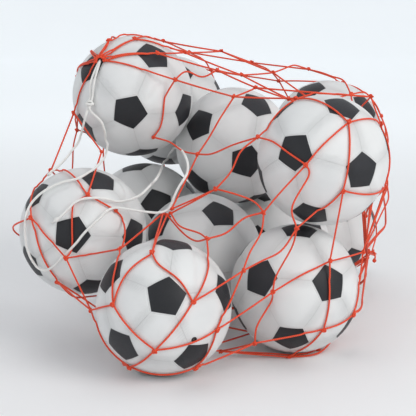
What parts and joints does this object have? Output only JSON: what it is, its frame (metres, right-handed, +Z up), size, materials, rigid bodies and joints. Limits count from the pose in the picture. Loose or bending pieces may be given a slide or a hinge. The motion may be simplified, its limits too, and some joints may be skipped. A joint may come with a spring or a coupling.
{
  "type": "mesh ball bag",
  "caption": "Knotted diamond-mesh carry bag with a loose drawstring mouth, lying full of pentagon-patterned rubber footballs that each turn inside the net.",
  "frame": {"origin": "on the floor, near the middle of the footprint of the lying bag", "axes": "+Z up from the floor; the front, seen from -Y, shows the open mouth at the left (-X) and the closed end at the right (+X)"},
  "size_m": [0.6883, 0.856, 0.5246],
  "materials": {
    "ball_rubber": "satin moulded rubber with a fine grain, off-white with charcoal pentagons and thin panel grooves",
    "valve_rubber": "matte black valve rubber",
    "net_cord": "twisted orange-red cord, matte",
    "drawstring_cord": "braided off-white cord, matte"
  },
  "bodies": {
    "net": {"net_row_01": "net_cord", "net_row_02": "net_cord", "net_row_03": "net_cord", "net_row_04": "net_cord", "net_row_05": "net_cord", "net_row_06": "net_cord", "net_row_07": "net_cord", "net_row_08": "net_cord", "net_row_09": "net_cord", "net_closing_tie": "net_cord", "net_tail": "net_cord", "drawstring": "drawstring_cord", "drawstring_knot": "drawstring_cord"},
    "ball_a": {"ball_a_casing": "ball_rubber", "ball_a_valve": "valve_rubber"},
    "ball_b": {"ball_b_casing": "ball_rubber", "ball_b_valve": "valve_rubber"},
    "ball_c": {"ball_c_casing": "ball_rubber", "ball_c_valve": "valve_rubber"},
    "ball_d": {"ball_d_casing": "ball_rubber", "ball_d_valve": "valve_rubber"},
    "ball_e": {"ball_e_casing": "ball_rubber", "ball_e_valve": "valve_rubber"},
    "ball_f": {"ball_f_casing": "ball_rubber", "ball_f_valve": "valve_rubber"},
    "ball_g": {"ball_g_casing": "ball_rubber", "ball_g_valve": "valve_rubber"},
    "ball_h": {"ball_h_casing": "ball_rubber", "ball_h_valve": "valve_rubber"},
    "ball_i": {"ball_i_casing": "ball_rubber", "ball_i_valve": "valve_rubber"},
    "ball_j": {"ball_j_casing": "ball_rubber", "ball_j_valve": "valve_rubber"},
    "ball_k": {"ball_k_casing": "ball_rubber", "ball_k_valve": "valve_rubber"},
    "ball_l": {"ball_l_casing": "ball_rubber", "ball_l_valve": "valve_rubber"},
    "ball_m": {"ball_m_casing": "ball_rubber", "ball_m_valve": "valve_rubber"}
  },
  "joints": [
    {"name": "ball_a_spin", "type": "hinge", "parent": "net", "child": "ball_a", "pos_m": [-0.146, 0.028, 0.412], "axis": [0, 0, 1], "continuous": true},
    {"name": "ball_b_spin", "type": "hinge", "parent": "net", "child": "ball_b", "pos_m": [-0.085, 0.266, 0.358], "axis": [0, 0, 1], "continuous": true},
    {"name": "ball_c_spin", "type": "hinge", "parent": "net", "child": "ball_c", "pos_m": [0.04, 0.091, 0.312], "axis": [0, 0, 1], "continuous": true},
    {"name": "ball_d_spin", "type": "hinge", "parent": "net", "child": "ball_d", "pos_m": [0.183, -0.19, 0.328], "axis": [0, 0, 1], "continuous": true},
    {"name": "ball_e_spin", "type": "hinge", "parent": "net", "child": "ball_e", "pos_m": [0.226, 0.209, 0.314], "axis": [0, 0, 1], "continuous": true},
    {"name": "ball_f_spin", "type": "hinge", "parent": "net", "child": "ball_f", "pos_m": [-0.224, -0.144, 0.197], "axis": [0, 0, 1], "continuous": true},
    {"name": "ball_g_spin", "type": "hinge", "parent": "net", "child": "ball_g", "pos_m": [-0.13, 0.146, 0.159], "axis": [0, 0, 1], "continuous": true},
    {"name": "ball_h_spin", "type": "hinge", "parent": "net", "child": "ball_h", "pos_m": [-0.021, -0.043, 0.134], "axis": [0, 0, 1], "continuous": true},
    {"name": "ball_i_spin", "type": "hinge", "parent": "net", "child": "ball_i", "pos_m": [-0.08, -0.314, 0.108], "axis": [0, 0, 1], "continuous": true},
    {"name": "ball_j_spin", "type": "hinge", "parent": "net", "child": "ball_j", "pos_m": [0.139, -0.194, 0.108], "axis": [0, 0, 1], "continuous": true},
    {"name": "ball_k_spin", "type": "hinge", "parent": "net", "child": "ball_k", "pos_m": [0.229, 0.316, 0.108], "axis": [0, 0, 1], "continuous": true},
    {"name": "ball_l_spin", "type": "hinge", "parent": "net", "child": "ball_l", "pos_m": [0.119, 0.126, 0.108], "axis": [0, 0, 1], "continuous": true},
    {"name": "ball_m_spin", "type": "hinge", "parent": "net", "child": "ball_m", "pos_m": [0.003, 0.313, 0.108], "axis": [0, 0, 1], "continuous": true}
  ]
}
